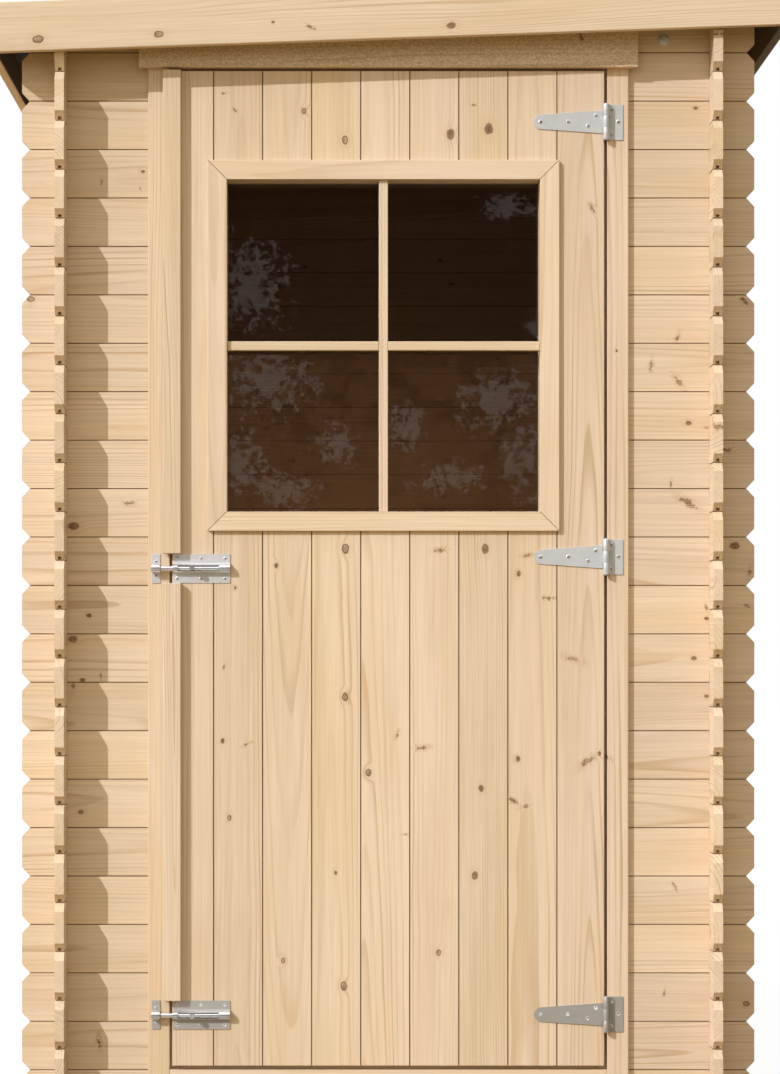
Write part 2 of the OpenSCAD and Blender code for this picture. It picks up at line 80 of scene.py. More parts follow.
def makeCamera():
    lens = bpy.data.cameras.new("photoCamera")
    lens.sensor_width = 36.0
    lens.lens = photoView["lens"]
    lens.shift_x = photoView["shiftX"]
    lens.shift_y = photoView["shiftY"]
    lens.clip_end = 200.0
    camera = newObject("photoCamera", lens)
    camera.location = photoView["place"]
    camera.rotation_euler = (math.radians(90), 0, 0)
    bpy.context.scene.camera = camera


def makeSun():
    lamp = bpy.data.lights.new("daySun", "SUN")
    lamp.energy = daylight["sun"]
    lamp.color = daylight["sunTint"]
    lamp.angle = math.radians(daylight["sunSize"])
    sun = newObject("daySun", lamp)
    sun.rotation_euler = (-Vector(daylight["sunFrom"])).to_track_quat("-Z", "Y").to_euler()
    # daylight that finds its way indoors, seen through the panes
    lamp = bpy.data.lights.new("indoorGlow", "AREA")
    lamp.energy = daylight["indoorGlow"]
    lamp.color = daylight["indoorTint"]
    lamp.size = daylight["indoorSize"]
    indoor = newObject("indoorGlow", lamp)
    indoor.location = daylight["indoors"]
    indoor.rotation_euler = (math.radians(90), 0, 0)
    indoor.visible_camera = indoor.visible_glossy = indoor.visible_transmission = False


# short hands for building node trees
drawing = {"tree": None}  # the tree that new nodes go to


def newNode(kind):
    return drawing["tree"].nodes.new("ShaderNode" + kind)


def feed(socket, value):
    if hasattr(value, "is_output"):
        drawing["tree"].links.new(value, socket)
    else:
        socket.default_value = value


def calc(operation, *values):
    made = newNode("Math")
    made.operation = operation
    for socket, value in zip(made.inputs, values):
        feed(socket, value)
    return made.outputs[0]


def times(first, second):
    return calc("MULTIPLY", first, second)


def plus(first, second):
    return calc("ADD", first, second)


def minus(first, second):
    return calc("SUBTRACT", first, second)


def timesPlus(first, second, third):  # first times second, plus third
    return calc("MULTIPLY_ADD", first, second, third)


def spread(share, least, more):  # least where share is 0
    return timesPlus(share, more, least)


def unsigned(value):
    return calc("ABSOLUTE", value)


def rest(share):  # what a share leaves of 1
    return minus(1.0, share)


def offHalf(value):  # chance values and noise, round 0
    return minus(value, 0.5)


def farOf(u, v):  # distance from two offsets at right angles
    return calc("SQRT", plus(times(u, u), times(v, v)))


def ease(value, low, high):  # smooth 0 to 1 from low to high
    made = newNode("MapRange")
    made.interpolation_type = "SMOOTHSTEP"
    feed(made.inputs[0], value)
    feed(made.inputs[1], low)
    feed(made.inputs[2], high)
    return made.outputs[0]


def tint(share, first, second, mode="MIX"):
    made = newNode("Mix")
    made.data_type = "RGBA"
    made.blend_type = mode
    feed(made.inputs[0], share)
    feed(made.inputs[6], first)
    feed(made.inputs[7], second)
    return made.outputs[2]


def shaded(colour, shade):
    return tint(1.0, colour, point(shade, shade, shade), "MULTIPLY")


def choose(mask, no, yes):
    made = newNode("Mix")
    feed(made.inputs[0], mask)
    feed(made.inputs[2], no)
    feed(made.inputs[3], yes)
    return made.outputs[0]


def point(x, y, z):
    made = newNode("CombineXYZ")
    for socket, value in zip(made.inputs, (x, y, z)):
        feed(socket, value)
    return made.outputs[0]


def cloud(place, scale, detail=2.0, rough=0.5):
    made = newNode("TexNoise")
    feed(made.inputs["Vector"], place)
    made.inputs["Scale"].default_value = scale
    made.inputs["Detail"].default_value = detail
    made.inputs["Roughness"].default_value = rough
    return made.outputs[0]


def dice(seed):  # three chance values for one seed
    made = newNode("TexWhiteNoise")
    made.noise_dimensions = "1D"
    feed(made.inputs["W"], seed)
    parts = newNode("SeparateColor")
    feed(parts.inputs[0], made.outputs["Color"])
    return parts.outputs[0], parts.outputs[1], parts.outputs[2]


def newGroup(name, given, put):
    drawing["tree"] = tree = bpy.data.node_groups.new(name, "ShaderNodeTree")
    for label in given:
        tree.interface.new_socket(name=label, in_out="INPUT", socket_type="NodeSocketFloat")
    for label, kind in put.items():
        tree.interface.new_socket(name=label, in_out="OUTPUT", socket_type="NodeSocket" + kind)
    start = tree.nodes.new("NodeGroupInput")
    end = tree.nodes.new("NodeGroupOutput")
    return tree, start.outputs, end.inputs


def placeGroup(group, **values):
    made = newNode("Group")
    made.node_tree = group
    for label, value in values.items():
        feed(made.inputs[label], value)
    return made.outputs


def newMaterial(name):
    material = bpy.data.materials.new(name)
    material.use_nodes = True
    drawing["tree"] = material.node_tree
    shader = material.node_tree.nodes["Principled BSDF"]
    coordinates = newNode("TexCoord")
    split = newNode("SeparateXYZ")
    feed(split.inputs[0], coordinates.outputs["Object"])
    axes = dict(zip("XYZ", split.outputs))
    axes["place"] = coordinates.outputs["Object"]
    return material, shader, axes


def bumpFrom(shader, height, strength, distance):
    bump = newNode("Bump")
    bump.inputs["Strength"].default_value = strength
    bump.inputs["Distance"].default_value = distance
    feed(bump.inputs["Height"], height)
    feed(shader.inputs["Normal"], bump.outputs[0])


# sky and floor, neither part of the shed
def plainSight():  # 1 where the camera looks straight at a point or at it through a pane
    rays = newNode("LightPath").outputs
    lone = calc("LESS_THAN", plus(rays["Diffuse Depth"], rays["Glossy Depth"]), 0.5)
    through = times(rays["Is Transmission Ray"], lone)
    return calc("MAXIMUM", rays["Is Camera Ray"], through), rays["Is Glossy Ray"]


def mirroredGaps(x, z):  # 1 in the middle of a gap, 0 at its edge
    eye = Vector(photoView["place"])
    inside = -1.5
    for paneX, paneZ, halfX, halfZ in mirrorGaps:
        sight = Vector((paneX * mm, mirrorView["paneY"], paneZ * mm)) - eye
        u = timesPlus(x, sight.length / (halfX * mm), -sight.x / (halfX * mm))
        v = timesPlus(z, sight.length / (halfZ * mm), -sight.z / (halfZ * mm))
        inside = calc("MAXIMUM", rest(farOf(u, v)), inside)
    return inside


def makeWorld():
    world = bpy.data.worlds.new("studioDay")
    world.use_nodes = True
    bpy.context.scene.world = world
    drawing["tree"] = world.node_tree
    world.node_tree.nodes.clear()
    out = newNode("OutputWorld")
    direction = newNode("TexCoord").outputs["Generated"]
    split = newNode("SeparateXYZ")
    feed(split.inputs[0], direction)
    x, _, z = split.outputs
    sky = tint(ease(z, *daylight["horizon"]), daylight["fillLow"], daylight["fillHigh"])
    lean = timesPlus(x, -daylight["fillLeft"], 1.0)  # brighter towards the sun
    lean = timesPlus(calc("MAXIMUM", x, 0.0), -daylight["fillRight"], lean)
    sky = shaded(sky, lean)
    # dark leaves with pale gaps, which fall by chance away from the photo's own view
    view = mirrorView
    leaves = cloud(direction, view["leaves"], 6.0, 0.80)
    aside = unsigned(minus(x, view["ahead"]))
    ahead = ease(aside, view["aheadHalf"] + 0.01, view["aheadHalf"] - 0.01)
    clumps = timesPlus(cloud(direction, view["clumps"], 1.0), 4.0, -2.2)
    gaps = choose(ahead, clumps, mirroredGaps(x, z))
    patches = ease(timesPlus(gaps, 0.17, leaves), 0.555, 0.605)
    # a brown glow low down, broken by bushes
    top, foot = view["lowTop"], view["lowFoot"]
    low = times(ease(z, top + 0.002, top - 0.002), ease(z, *foot))
    low = times(times(low, ahead), timesPlus(ease(z, top, foot[1]), 0.6, 0.9))
    bushes = ease(cloud(direction, view["bushes"], 4.0, 0.65), 0.40, 0.56)
    dark = tint(times(low, timesPlus(bushes, 0.65, 0.45)), view["dark"], view["low"])
    pale = tint(low, view["pale"], view["lowPale"])
    mirrored = tint(patches, dark, pale)
    mirrored = tint(ease(z, *view["skyFrom"]), mirrored, view["sky"])
    sight, glossy = plainSight()
    seen = tint(sight, tint(glossy, sky, mirrored), (1, 1, 1, 1))
    glow = newNode("Background")
    feed(glow.inputs["Color"], seen)
    feed(out.inputs[0], glow.outputs[0])


def makeFloor():
    bm = bmesh.new()
    bmesh.ops.create_grid(bm, x_segments=1, y_segments=1, size=paleFloor["half"])
    mesh = bpy.data.meshes.new("paleFloor")
    bm.to_mesh(mesh)
    bm.free()
    floor = newObject("paleFloor", mesh)
    material, shader, axes = newMaterial("paleFloor")
    shader.inputs["Roughness"].default_value = 0.9
    shader.inputs["Specular IOR Level"].default_value = 0.0
    sight, glossy = plainSight()
    tone = tint(glossy, paleFloor["tone"], paleFloor["mirrored"])
    feed(shader.inputs["Base Color"], tint(sight, tone, paleFloor["seen"]))
    shader.inputs["Emission Color"].default_value = (1, 1, 1, 1)
    feed(shader.inputs["Emission Strength"], times(sight, paleFloor["glow"]))
    mesh.materials.append(material)


makeCamera()
makeSun()
makeWorld()
makeFloor()
bpy.context.scene.view_settings.view_transform = "Standard"
bpy.context.scene.view_settings.look = "None"
print("camera, light and floor set")

# planed spruce, solid through each board, so the ends show the same rings as the faces
spruceTone = {
    "early": (0.740, 0.596, 0.462, 1), "late": (0.500, 0.326, 0.172, 1), "warm": (0.688, 0.514, 0.335, 1),
    "halo": (0.540, 0.340, 0.180, 1), "knotCore": (0.225, 0.115, 0.056, 1), "knotRim": (0.085, 0.034, 0.022, 1),
    # tar also paints shade on the fascias' inner faces
    "joint": (0.140, 0.055, 0.004, 1), "tar": (0.012, 0.010, 0.009, 1),
}
familyStep = 37.0  # between the seeds of two pieces
noKnot = 99.0  # too many radii off to show
knotKinds = {"ring": 0.35, "slash": 0.55}  # under the first pale inside, over the second a slanting slash


def makeBoardGroup():  # which board a point is on, and where across it
    tree, given, put = newGroup("boardSpace", ("Across", "Start", "Pitch", "Family"),
                                {"Across": "Float", "Board": "Float", "Seed": "Float"})
    offset = minus(given["Across"], given["Start"])
    board = calc("FLOOR", calc("DIVIDE", offset, given["Pitch"]))
    middle = times(plus(board, 0.5), given["Pitch"])
    feed(put["Across"], minus(offset, middle))
    feed(put["Board"], board)
    feed(put["Seed"], timesPlus(given["Family"], familyStep, times(board, 1.618)))
    return tree


def makeKnotShape():  # distance to one knot, counted in its radii
    tree, given, put = newGroup("knotShape", ("Along", "Across", "Place", "Side", "Wide", "Kind"), {"Reach": "Float"})
    du = calc("DIVIDE", minus(given["Along"], given["Place"]), given["Wide"])
    dv = calc("DIVIDE", minus(given["Across"], given["Side"]), given["Wide"])
    slash = calc("GREATER_THAN", given["Kind"], knotKinds["slash"])
    turn = times(times(given["Kind"], 29.0), slash)
    cosine, sine = calc("COSINE", turn), calc("SINE", turn)
    u = plus(times(du, cosine), times(dv, sine))
    v = minus(times(dv, cosine), times(du, sine))
    u = calc("DIVIDE", u, timesPlus(slash, 0.20, 1.20))
    v = times(v, timesPlus(slash, 0.8, 1.15))
    feed(put["Reach"], farOf(u, v))
    return tree


def makeKnotGroup():  # a chance knot in each length of board
    tree, given, put = newGroup("knotField", ("Along", "Across", "Seed", "Cell", "Chance", "Least", "Most", "Spread"),
                                {"Knot": "Float", "Kind": "Float"})
    cell = calc("FLOOR", calc("DIVIDE", given["Along"], given["Cell"]))
    seed = timesPlus(cell, 5.17, given["Seed"])
    first, second, third = dice(seed)
    present, kind, _ = dice(plus(seed, 0.37))
    place = times(plus(cell, timesPlus(first, 0.5, 0.25)), given["Cell"])
    side = times(offHalf(second), given["Spread"])
    wide = plus(given["Least"], times(third, minus(given["Most"], given["Least"])))
    reach = placeGroup(knotShape, Along=given["Along"], Across=given["Across"],
                       Place=place, Side=side, Wide=wide, Kind=kind)["Reach"]
    missing = calc("GREATER_THAN", present, given["Chance"])
    feed(put["Knot"], timesPlus(missing, noKnot, reach))
    feed(put["Kind"], kind)
    return tree


# lengths in metres; pairs are the least and what chance adds, or where a share rises
spruceGrain = {
    "pithAside": 0.13, "pithDeep": (0.016, 0.075), "pithTurn": 0.02, "pithDive": 0.045,
    "slowBend": 0.030, "fineBend": 0.0035, "knotBend": 0.0042, "nearKnot": (0.2, 3.4),
    "ring": (0.0036, 0.0040), "uneven": 3.4, "lateRise": (0.52, 0.92), "lateEnd": (0.93, 1.0), "year": (0.32, 0.95),
    "faint": (0.14, 0.56), "warm": 0.55, "smudge": 0.22, "fibre": 0.30, "streak": 0.20,
    "boardShade": 0.13, "rosy": 0.07,
}
# in radii, and shares of the colours; ragged is how far noise moves the edge
knotLook = {
    "halo": (0.8, 3.2), "core": (0.55, 1.05), "rim": (0.58, 0.86), "rimEnd": (0.90, 1.12),
    "ragged": (0.55, 2.2), "torn": 2.0, "haloShare": (0.20, 0.16), "coreShare": (0.92, 0.9), "rimShare": 0.60,
    "ringCore": -0.30, "ringRim": 0.25, "slashRim": -0.20,
}


def makeSpruceGroup():
    grain, look = spruceGrain, knotLook
    tree, given, put = newGroup("spruceWood", ("Along", "Across", "Depth", "Seed", "Knot", "Kind", "Tone"),
                                {"Color": "Color", "Roughness": "Float", "Height": "Float"})
    along, across, depth, seed = given["Along"], given["Across"], given["Depth"], given["Seed"]
    pickA, pickB, pickC = dice(seed)
    pickD, pickE, pickF = dice(plus(seed, 11.3))
    shift = times(seed, 7.31)
    run = plus(along, shift)
    # growth rings round a pith that wanders beside the board
    slowBend = cloud(point(run, times(across, 4.0), times(depth, 4.0)), 1.3, 1.0)
    fineBend = cloud(point(run, times(across, 5.0), times(depth, 5.0)), 6.0, 1.0)
    wobble = offHalf(cloud(point(run, across, depth), 160.0, 1.0))
    fibre = cloud(point(times(run, 0.024), across, depth), 290.0, 3.0, 0.6)
    slashKind = calc("GREATER_THAN", given["Kind"], knotKinds["slash"])
    ringKind = calc("LESS_THAN", given["Kind"], knotKinds["ring"])
    knot = timesPlus(wobble, spread(slashKind, *look["ragged"]), given["Knot"])
    knot = timesPlus(times(offHalf(fibre), slashKind), look["torn"], knot)
    near = rest(ease(given["Knot"], *grain["nearKnot"]))
    sideways = timesPlus(offHalf(pickA), grain["pithAside"], across)
    sideways = timesPlus(times(along, offHalf(pickD)), grain["pithTurn"], sideways)
    sideways = timesPlus(offHalf(slowBend), grain["slowBend"], sideways)
    deep = plus(depth, spread(pickB, *grain["pithDeep"]))
    deep = timesPlus(times(along, offHalf(pickE)), grain["pithDive"], deep)
    deep = timesPlus(offHalf(fineBend), grain["fineBend"], deep)
    reach = timesPlus(near, grain["knotBend"], farOf(sideways, deep))
    uneven = cloud(point(times(reach, 48.0), shift, times(run, 0.5)), 1.0, 2.0)
    rings = calc("DIVIDE", reach, spread(pickC, *grain["ring"]))
    rings = timesPlus(uneven, grain["uneven"], rings)
    part = calc("FRACT", rings)
    late = times(ease(part, *grain["lateRise"]), rest(ease(part, *grain["lateEnd"])))
    year = dice(plus(calc("FLOOR", rings), shift))[0]
    band = times(late, spread(year, *grain["year"]))
    # fibres, slow colour drift and the board's own shade
    drift = cloud(point(run, times(across, 5.0), times(depth, 5.0)), 2.6, 1.0)
    faint = ease(cloud(point(run, times(across, 9.0), depth), 1.7, 1.0), 0.34, 0.68)
    strength = times(band, spread(faint, *grain["faint"]))
    streak = cloud(point(times(run, 0.5), times(across, 46.0), times(depth, 46.0)), 1.0, 2.0, 0.6)
    smudge = cloud(point(times(run, 9.0), times(across, 26.0), depth), 1.0, 2.0)
    colour = tint(strength, spruceTone["early"], spruceTone["late"])
    colour = tint(times(ease(drift, 0.38, 0.72), grain["warm"]), colour, spruceTone["warm"])
    colour = tint(times(ease(smudge, 0.66, 0.80), grain["smudge"]), colour, spruceTone["halo"])
    shade = timesPlus(offHalf(fibre), grain["fibre"], 1.0)
    shade = timesPlus(offHalf(streak), grain["streak"], shade)
    shade = timesPlus(offHalf(pickF), grain["boardShade"], shade)
    shade = plus(shade, given["Tone"])
    rosy = timesPlus(offHalf(dice(plus(seed, 23.9))[0]), grain["rosy"], shade)
    colour = tint(1.0, colour, point(shade, shade, rosy), "MULTIPLY")
    # knots: resin halo, brown core, dark rim; a ring is paler inside, a slash patchy with a weaker rim
    halo = rest(ease(knot, *look["halo"]))
    core = rest(ease(knot, *look["core"]))
    rim = times(ease(knot, *look["rim"]), rest(ease(knot, *look["rimEnd"])))
    coreShare = timesPlus(ringKind, look["ringCore"], spread(wobble, *look["coreShare"]))
    patchy = timesPlus(ease(fibre, 0.58, 0.42), 0.5, 0.5)
    coreShare = times(coreShare, choose(slashKind, 1.0, patchy))
    rimShare = timesPlus(ringKind, look["ringRim"], look["rimShare"])
    rimShare = timesPlus(slashKind, look["slashRim"], rimShare)
    haloShare = spread(slashKind, *look["haloShare"])
    colour = tint(times(halo, haloShare), colour, spruceTone["halo"])
    colour = tint(times(core, coreShare), colour, spruceTone["knotCore"])
    colour = tint(times(rim, rimShare), colour, spruceTone["knotRim"])
    feed(put["Color"], colour)
    dull = timesPlus(fibre, 0.10, 0.56)
    dull = timesPlus(band, -0.08, dull)
    feed(put["Roughness"], timesPlus(core, -0.14, dull))
    feed(put["Height"], times(fibre, 0.7))
    return tree


boardGroup = makeBoardGroup()
knotShape = makeKnotShape()
knotGroup = makeKnotGroup()
spruceGroup = makeSpruceGroup()

# knots that catch the eye, by board: place along the grain, off the board's middle, radius, all in mm, and kind
doorKnots = {
    1: [(1775, -24, 2.6, 0.7), (1745, -5, 2.8, 0.62), (920, -5, 2.6, 0.5), (784, -24, 2.8, 0.66),
        (655, -27, 4.2, 0.5), (649, 14, 3.6, 0.58), (522, -15, 4.0, 0.2)],
    2: [(1744, 29, 4.7, 0.2), (958, -19, 4.1, 0.45), (275, -7, 4.1, 0.2)],
    3: [(1694, 15, 6.0, 0.1), (987, 16, 6.8, 0.1), (731, 15, 6.0, 0.1), (427, -1, 3.1, 0.5), (231, 13, 6.3, 0.1)],
    4: [(664, 20, 4.4, 0.66), (600, -29, 5.6, 0.1), (493, 35, 2.9, 0.6)],
    5: [(1704, 28, 7.6, 0.5), (985, 9, 5.8, 0.70), (643, -22, 6.0, 0.70), (289, 7, 4.8, 0.2)],
    6: [(1713, 9, 8.2, 0.5), (987, 3, 7.1, 0.5), (573, -4, 5.2, 0.5), (422, -15, 6.2, 0.45), (1755, -18, 2.9, 0.6)],
    7: [(976, -9, 4.4, 0.7), (944, -24, 4.2, 0.5), (902, 27, 5.2, 0.704),
        (624, -25, 4.4, 0.5), (552, -34, 4.9, 0.72), (542, -12, 5.0, 0.8)],
    8: [(796, -14, 7.2, 0.715), (633, 31, 3.5, 0.5), (618, 9, 8.0, 0.79), (1575, 19, 5.1, 0.63)],
}
leftWallKnots = {
    1: [(-501, 5, 5.3, 0.6)], 6: [(-533, -15, 4.1, 0.5)], 8: [(-546, 37, 5.5, 0.7)],
    9: [(-498, -31, 2.6, 0.6), (-547, 33, 6.5, 0.5), (-530, -38, 4.0, 0.5)], 10: [(-519, -10, 4.3, 0.5)],
    12: [(-546, -23, 8.1, 0.5), (-449, 17, 5.0, 0.65)], 16: [(-620, 35, 5.5, 0.2)],
    19: [(-430, -26, 2.6, 0.6), (-425, 4, 3.2, 0.5), (-497, -14, 2.6, 0.7)],
}
rightWallKnots = {
    2: [(479, 7, 3.1, 0.7), (621, -11, 5.0, 0.2)], 4: [(497, 24, 3.5, 0.72)], 8: [(552, 18, 3.4, 0.5)],
    9: [(530, 0, 4.2, 0.5)], 10: [(552, 4, 3.4, 0.6), (552, -15, 3.6, 0.5)],
    11: [(601, 27, 7.5, 0.5), (627, -18, 5.0, 0.7)], 12: [(522, 16, 9.0, 0.85)], 13: [(490, -34, 3.8, 0.7)],
    14: [(521, -12, 4.6, 0.5), (552, -20, 3.5, 0.65)], 15: [(456, 3, 4.8, 0.7), (503, -24, 7.0, 0.62)],
    16: [(502, -31, 5.3, 0.8), (617, 33, 6.0, 0.62)], 20: [(533, 30, 3.5, 0.5)],
}
postKnots = {0: [(629, -13, 5.0, 0.62), (1330, 6, 2.4, 0.5)]}
fasciaKnots = {0: [(-599, -23.6, 7.6, 0.1), (-393, -22.1, 6.4, 0.1), (106, -24.4, 6.4, 0.45),
                   (-198, -8, 2.6, 0.5), (452, 18, 5.0, 0.2)]}


def knotsFromList(along, across, board, spots):
    count = max(spots) + 2
    share = calc("DIVIDE", plus(board, 0.5), count)
    scales = {"along": 0.25, "across": 5.0, "wide": 20.0}  # metres to the 0 to 1 of a ramp's colours
    nearest = kind = None
    for layer in range(max(len(row) for row in spots.values())):
        ramp = newNode("ValToRGB")
        ramp.color_ramp.interpolation = "CONSTANT"
        stops = ramp.color_ramp.elements
        stops.remove(stops[1])
        for index in range(count):
            row = spots.get(index, [])
            place, side, wide, sort = row[layer] if layer < len(row) else (0, 0, 0.001, 0.5)
            stop = stops[0] if index == 0 else stops.new(index / count)
            stop.color = (place * mm * scales["along"] + 0.5, side * mm * scales["across"] + 0.5,
                          wide * mm * scales["wide"], sort)
        feed(ramp.inputs[0], share)
        parts = newNode("SeparateColor")
        feed(parts.inputs[0], ramp.outputs[0])
        place = calc("DIVIDE", offHalf(parts.outputs[0]), scales["along"])
        side = calc("DIVIDE", offHalf(parts.outputs[1]), scales["across"])
        wide = calc("DIVIDE", parts.outputs[2], scales["wide"])
        reach = placeGroup(knotShape, Along=along, Across=across, Place=place, Side=side, Wide=wide,
                           Kind=ramp.outputs[1])["Reach"]
        if nearest is None:
            nearest, kind = reach, ramp.outputs[1]
        else:
            kind = choose(calc("LESS_THAN", reach, nearest), kind, ramp.outputs[1])
            nearest = calc("MINIMUM", nearest, reach)
    return nearest, kind


chanceKnots = {"Cell": 0.46, "Least": 0.0025, "Most": 0.0070, "Spread": 0.056}  # metres
planed = {"shine": 0.30, "bump": 0.30, "deep": 0.0004, "sawnScale": 420.0}
knotChance = {"boards": 0.45, "frames": 0.15}  # unless the piece has its own
oneBoard = 10.0  # a pitch so wide that the piece is a single board
joints = {"from": 0.5 * mm, "wide": 1.2, "share": 0.85, "mitre": (0.4 * mm, 1.3 * mm), "mitreShare": 0.65}


def spruceSkin(shader, along, across, depth, seed, lay, chance, listed=None, seam=None, paintedShade=None):
    field = placeGroup(knotGroup, Along=along, Across=across, Seed=seed, Chance=lay.get("chance", chance),
                       **chanceKnots)
    knot, kind = field["Knot"], field["Kind"]
    if listed is not None:
        kind = choose(calc("LESS_THAN", listed[0], knot), kind, listed[1])
        knot = calc("MINIMUM", knot, listed[0])
    wood = placeGroup(spruceGroup, Along=along, Across=across, Depth=depth, Seed=seed, Knot=knot, Kind=kind,
                      Tone=lay.get("tone", 0.0))
    colour = wood["Color"]
    if "sawn" in lay:  # left rough from the saw
        fuzz = cloud(point(times(along, 0.6), across, depth), planed["sawnScale"], 2.0)
        fuzz = timesPlus(offHalf(fuzz), lay["sawn"], 1.0)
        colour = shaded(colour, fuzz)
    if seam is not None:
        colour = tint(seam, colour, spruceTone["joint"])
    # painted shade in the tar colour, where a piece asks for it
    if paintedShade is not None:
        colour = tint(paintedShade, colour, spruceTone["tar"])
    feed(shader.inputs["Base Color"], colour)
    feed(shader.inputs["Roughness"], wood["Roughness"])
    feed(shader.inputs["Specular IOR Level"], planed["shine"])
    bumpFrom(shader, wood["Height"], planed["bump"], planed["deep"])


def boardMaterial(name, lay):
    material, shader, axes = newMaterial(name)
    along, across = axes[lay["along"]], axes[lay["across"]]
    depth = minus(axes[lay["depth"]], lay["middle"])
    if "tilt" in lay:
        across = timesPlus(along, -lay["tilt"], across)
    space = placeGroup(boardGroup, Across=across, Start=lay["start"], Pitch=lay.get("pitch", oneBoard),
                       Family=float(lay["family"]))
    listed = seam = paintedShade = None
    if "paintedShade" in lay:  # painted shade, in the roof boards' tar colour, from the bare to the dark place on one axis
        axis, bare, dark, share = lay["paintedShade"]
        paintedShade = times(ease(axes[axis], bare, dark), share)
    if "knots" in lay:
        listed = knotsFromList(along, space["Across"], space["Board"], lay["knots"])
    if "pitch" in lay:  # shade and dust down the joint between two boards
        edge = minus(lay["pitch"] / 2, unsigned(space["Across"]))
        seam = rest(ease(edge, joints["from"], lay.get("joint", joints["wide"]) * mm))
        seam = times(seam, joints["share"])
    spruceSkin(shader, along, space["Across"], depth, space["Seed"], lay, knotChance["boards"], listed, seam, paintedShade)
    return material


def framedMaterial(name, lay):  # four pieces round the window, or the bars across it
    material, shader, axes = newMaterial(name)
    x = minus(axes["X"], lay["centre"][0])
    z = minus(axes["Z"], lay["centre"][1])
    seam = None
    if "halfBar" in lay:
        upright = calc("LESS_THAN", unsigned(x), lay["halfBar"])
    else:
        overX = minus(unsigned(x), lay["half"][0])
        overZ = minus(unsigned(z), lay["half"][1])
        upright = calc("GREATER_THAN", overX, overZ)
        # painted shade and dust down the mitres, as at the board joints
        seam = rest(ease(unsigned(minus(overX, overZ)), *joints["mitre"]))
        seam = times(seam, joints["mitreShare"])
    along = choose(upright, x, z)
    across = choose(upright, unsigned(z), unsigned(x))
    edge = choose(upright, lay["half"][1], lay["half"][0])
    across = minus(across, edge)
    which = choose(upright, times(calc("SIGN", z), 1.3), times(calc("SIGN", x), 2.9))
    seed = plus(which, lay["family"] * familyStep)
    depth = minus(axes["Y"], lay["middle"])
    spruceSkin(shader, along, across, depth, seed, lay, knotChance["frames"], seam=seam)
    return material


def dress(name, material):
    for place in nodes[name].material_slots:
        place.material = material


plankPitch, doorPitch = 84 * mm, 84.8286 * mm
uprightLay = {"along": "Z", "across": "X", "depth": "Y"}
levelLay = {"along": "X", "across": "Z", "depth": "Y"}
deepLay = {"along": "Y", "across": "Z", "depth": "X"}
wallLay = dict(levelLay, start=0.0, pitch=plankPitch)
sideLay = dict(deepLay, start=plankPitch / 2, pitch=plankPitch)  # half a plank higher, to notch into the front
boardPieces = {
    "front_wall_left": dict(wallLay, family=1, knots=leftWallKnots, chance=0.10),
    "front_wall_right": dict(wallLay, family=2, knots=rightWallKnots, chance=0.10, tone=-0.045),
    "front_wall_top": dict(wallLay, family=3),
    "back_wall": dict(wallLay, family=4),
    "left_wall": dict(sideLay, family=5),
    "right_wall": dict(sideLay, family=6),
    "frame_post_left": dict(uprightLay, family=7, chance=0.2),
    "frame_post_right": dict(uprightLay, family=8, chance=0.0, knots=postKnots),
    "frame_head": dict(levelLay, family=9),
    "door_sill": dict(levelLay, family=10),
    "lintel_board": dict(levelLay, family=11, tone=0.05, sawn=1.2),
    "floor_joists": {"along": "Y", "across": "X", "depth": "Z", "start": -0.256, "pitch": 0.5117, "family": 12},
    "fascia_front": dict(levelLay, family=13, chance=0.10, tilt=fall, knots=fasciaKnots),
    "fascia_back": dict(levelLay, family=14, tilt=fall),
    # painted shade: the fascias' inner faces are darkened where the eaves shade them
    "fascia_left": dict(deepLay, family=15, paintedShade=("X", -0.6735, -0.6712, 0.93)),
    "fascia_right": dict(deepLay, family=16, paintedShade=("X", 0.6868, 0.6850, 0.80)),
    "door_boards": dict(uprightLay, start=-302.1 * mm - doorPitch, pitch=doorPitch, family=17, knots=doorKnots,
                        chance=0.08, joint=1.5),
    "door_ledges": dict(levelLay, start=-0.2, pitch=0.6, family=18),
    "cover_strip_upper": dict(uprightLay, family=19, chance=0.2),
    "cover_strip_lower": dict(uprightLay, family=20, chance=0.2),
}
windowLay = {"centre": (-8.5 * mm, 1338 * mm), "half": (270.5 * mm, 287 * mm)}
framedPieces = {
    "window_trim": dict(windowLay, family=21, chance=0.0),
    "window_lining": dict(windowLay, family=22),
    "window_beads": dict(windowLay, family=23),
    "window_bars": dict(windowLay, family=24, halfBar=7.9 * mm),
}
for made, lays in ((boardMaterial, boardPieces), (framedMaterial, framedPieces)):
    for name, lay in lays.items():
        low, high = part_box(name)
        axis = "XYZ".index(lay.get("depth", "Y"))
        lay["middle"] = (low[axis] + high[axis]) / 2
        if "across" in lay and "start" not in lay:  # one wide board, centred on the piece
            axis = "XYZ".index(lay["across"])
            lay["start"] = (low[axis] + high[axis]) / 2 - oneBoard / 2
        dress(name, made("spruce_" + name, lay))
print("spruce on", len(boardPieces) + len(framedPieces), "nodes")


# metal, glass and felt
def makeZincGroup():
    tree, given, put = newGroup("zincCoat", ("X", "Y", "Z", "Mottle"),
                                {"Shade": "Float", "Roughness": "Float", "Height": "Float"})
    place = point(given["X"], given["Y"], given["Z"])
    flakes = newNode("TexVoronoi")
    flakes.inputs["Scale"].default_value = 210.0
    feed(flakes.inputs["Vector"], place)
    parts = newNode("SeparateColor")
    feed(parts.inputs[0], flakes.outputs["Color"])
    haze = cloud(place, 60.0, 3.0)
    brushed = cloud(point(times(given["X"], 0.06), given["Y"], given["Z"]), 2200.0, 2.0)
    shade = timesPlus(offHalf(parts.outputs[0]), given["Mottle"], 0.92)
    feed(put["Shade"], timesPlus(haze, 0.10, shade))
    feed(put["Roughness"], timesPlus(brushed, 0.05, times(haze, 0.10)))
    feed(put["Height"], brushed)
    return tree


